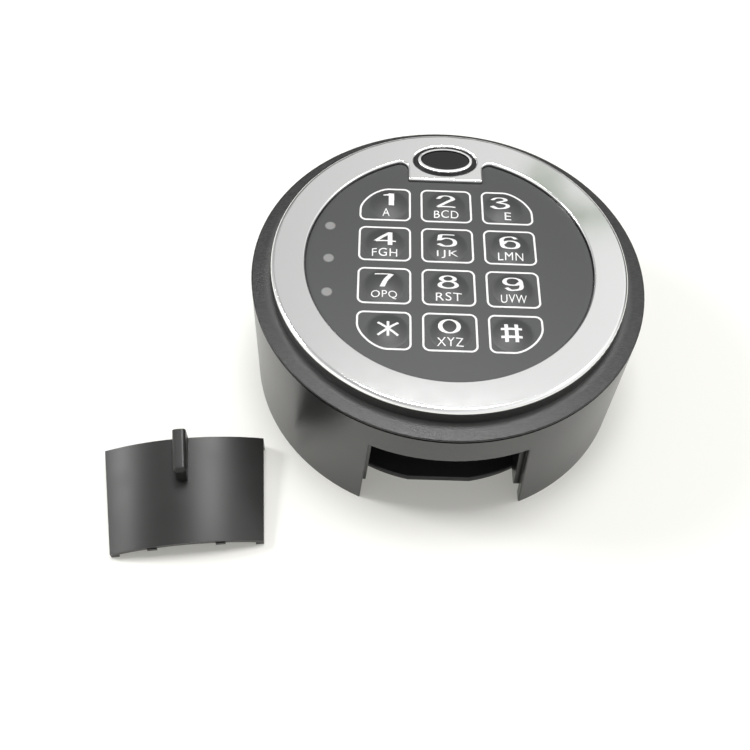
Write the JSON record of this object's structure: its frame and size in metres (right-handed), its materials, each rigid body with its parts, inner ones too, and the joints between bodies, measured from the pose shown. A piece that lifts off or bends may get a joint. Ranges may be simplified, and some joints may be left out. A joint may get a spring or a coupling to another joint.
{
  "type": "electronic safe lock",
  "caption": "Round electronic keypad head for a safe door, with chrome bezel, oval touch-key reader and a front battery bay whose curved cover is off",
  "frame": {"origin": "Centre of the drum's axis on the flat back face of the base plate, which rests on the safe door. The keypad faces +Z.", "axes": "+Z points out of the door through the keypad, +Y is up on a door (12 o'clock, where the oval reader is), +X is to the right as the user sees the keypad. The battery opening faces -Y."},
  "size_m": [0.1376, 0.1151, 0.0426],
  "materials": {
    "drum_plastic": "moulded black plastic with a soft sheen",
    "rim_plastic": "black plastic with a fine satin grain on the flat rim",
    "bright_chrome": "polished chrome plating",
    "overlay_film": "dark grey film with white printed key outlines",
    "key_plastic": "dark grey satin key with white legend",
    "mat_rubber": "grey silicone rubber",
    "board_laminate": "green glass-fibre laminate",
    "package_plastic": "black moulded package",
    "socket_plastic": "natural nylon header",
    "led_white": "white surface-mounted light",
    "light_pipe": "translucent pale grey window",
    "reader_core": "darkened contact metal",
    "contact_brass": "bare brass",
    "plated_steel": "nickel-plated steel",
    "plate_metal": "black coated steel plate",
    "cover_plastic": "moulded black plastic with a soft sheen"
  },
  "bodies": {
    "lock_body": {"housing": "drum_plastic", "top_cover": "rim_plastic", "bezel": "bright_chrome", "keypad_overlay": "overlay_film", "key_mat": "mat_rubber", "circuit_board": "board_laminate", "controller_chip": "package_plastic", "buzzer": "package_plastic", "lock_socket": "socket_plastic", "indicator_leds": "led_white", "light_pipes": "light_pipe", "reader_insulator": "drum_plastic", "reader_ring": "bright_chrome", "reader_core": "reader_core", "reader_pins": "contact_brass", "terminal_plate": "drum_plastic", "battery_snaps": "plated_steel", "battery_strips": "contact_brass", "base_plate": "plate_metal", "clinch_nuts": "plated_steel", "plate_screws": "plated_steel", "case_screws": "plated_steel", "board_screws": "plated_steel"},
    "key_1": {"key_1": "key_plastic"},
    "key_2": {"key_2": "key_plastic"},
    "key_3": {"key_3": "key_plastic"},
    "key_4": {"key_4": "key_plastic"},
    "key_5": {"key_5": "key_plastic"},
    "key_6": {"key_6": "key_plastic"},
    "key_7": {"key_7": "key_plastic"},
    "key_8": {"key_8": "key_plastic"},
    "key_9": {"key_9": "key_plastic"},
    "key_star": {"key_star": "key_plastic"},
    "key_0": {"key_0": "key_plastic"},
    "key_hash": {"key_hash": "key_plastic"},
    "cover": {"battery_cover": "cover_plastic"}
  },
  "joints": [
    {"name": "key_1_press", "type": "slide", "parent": "lock_body", "child": "key_1", "axis": [0, 0, -1], "range_m": [0, 0.0005], "stiffness_N_per_m": 1000, "springref_m": -0.0005},
    {"name": "key_2_press", "type": "slide", "parent": "lock_body", "child": "key_2", "axis": [0, 0, -1], "range_m": [0, 0.0005], "stiffness_N_per_m": 1000, "springref_m": -0.0005},
    {"name": "key_3_press", "type": "slide", "parent": "lock_body", "child": "key_3", "axis": [0, 0, -1], "range_m": [0, 0.0005], "stiffness_N_per_m": 1000, "springref_m": -0.0005},
    {"name": "key_4_press", "type": "slide", "parent": "lock_body", "child": "key_4", "axis": [0, 0, -1], "range_m": [0, 0.0005], "stiffness_N_per_m": 1000, "springref_m": -0.0005},
    {"name": "key_5_press", "type": "slide", "parent": "lock_body", "child": "key_5", "axis": [0, 0, -1], "range_m": [0, 0.0005], "stiffness_N_per_m": 1000, "springref_m": -0.0005},
    {"name": "key_6_press", "type": "slide", "parent": "lock_body", "child": "key_6", "axis": [0, 0, -1], "range_m": [0, 0.0005], "stiffness_N_per_m": 1000, "springref_m": -0.0005},
    {"name": "key_7_press", "type": "slide", "parent": "lock_body", "child": "key_7", "axis": [0, 0, -1], "range_m": [0, 0.0005], "stiffness_N_per_m": 1000, "springref_m": -0.0005},
    {"name": "key_8_press", "type": "slide", "parent": "lock_body", "child": "key_8", "axis": [0, 0, -1], "range_m": [0, 0.0005], "stiffness_N_per_m": 1000, "springref_m": -0.0005},
    {"name": "key_9_press", "type": "slide", "parent": "lock_body", "child": "key_9", "axis": [0, 0, -1], "range_m": [0, 0.0005], "stiffness_N_per_m": 1000, "springref_m": -0.0005},
    {"name": "key_star_press", "type": "slide", "parent": "lock_body", "child": "key_star", "axis": [0, 0, -1], "range_m": [0, 0.0005], "stiffness_N_per_m": 1000, "springref_m": -0.0005},
    {"name": "key_0_press", "type": "slide", "parent": "lock_body", "child": "key_0", "axis": [0, 0, -1], "range_m": [0, 0.0005], "stiffness_N_per_m": 1000, "springref_m": -0.0005},
    {"name": "key_hash_press", "type": "slide", "parent": "lock_body", "child": "key_hash", "axis": [0, 0, -1], "range_m": [0, 0.0005], "stiffness_N_per_m": 1000, "springref_m": -0.0005},
    {"name": "cover_lift", "type": "slide", "parent": "lock_body", "child": "cover", "axis": [0, 0, 1], "range_m": [0, 0.06]}
  ]
}
